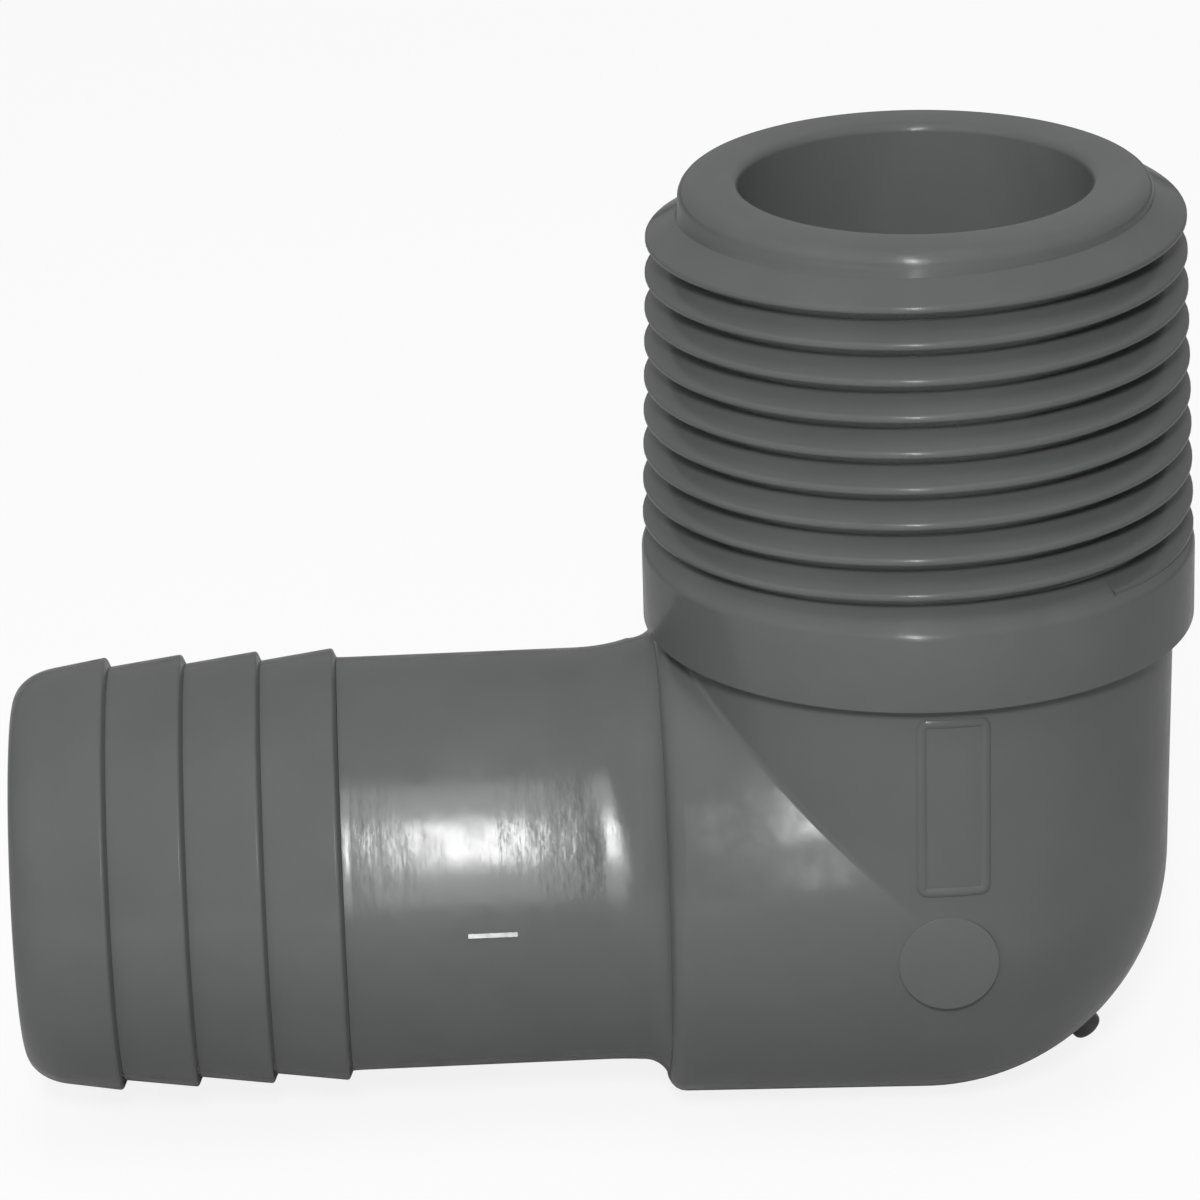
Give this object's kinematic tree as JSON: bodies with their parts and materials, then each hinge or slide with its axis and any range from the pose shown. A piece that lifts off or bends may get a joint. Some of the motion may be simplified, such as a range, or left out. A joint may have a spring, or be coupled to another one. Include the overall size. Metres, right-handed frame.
{
  "type": "threaded hose elbow",
  "caption": "Right-angle grey plastic pipe elbow with a tapered male thread and shoulder collar on one leg and a barbed hose tail on the other.",
  "frame": {"origin": "centre of the open end of the male thread, in the plane of its end face", "axes": "+Z along the thread's axis, out of its open end; -X along the hose tail, towards its open end; +Y completes a right-handed frame and is square to both legs"},
  "size_m": [0.0734, 0.034, 0.0592],
  "materials": {
    "moulded_plastic": "satin dark grey, as moulded"
  },
  "bodies": {
    "root": {"threaded_spigot": "moulded_plastic", "pipe_thread": "moulded_plastic", "shoulder_collar": "moulded_plastic", "elbow_body": "moulded_plastic", "hose_tail": "moulded_plastic", "barb_4": "moulded_plastic", "barb_3": "moulded_plastic", "barb_2": "moulded_plastic", "barb_1": "moulded_plastic"}
  },
  "joints": []
}
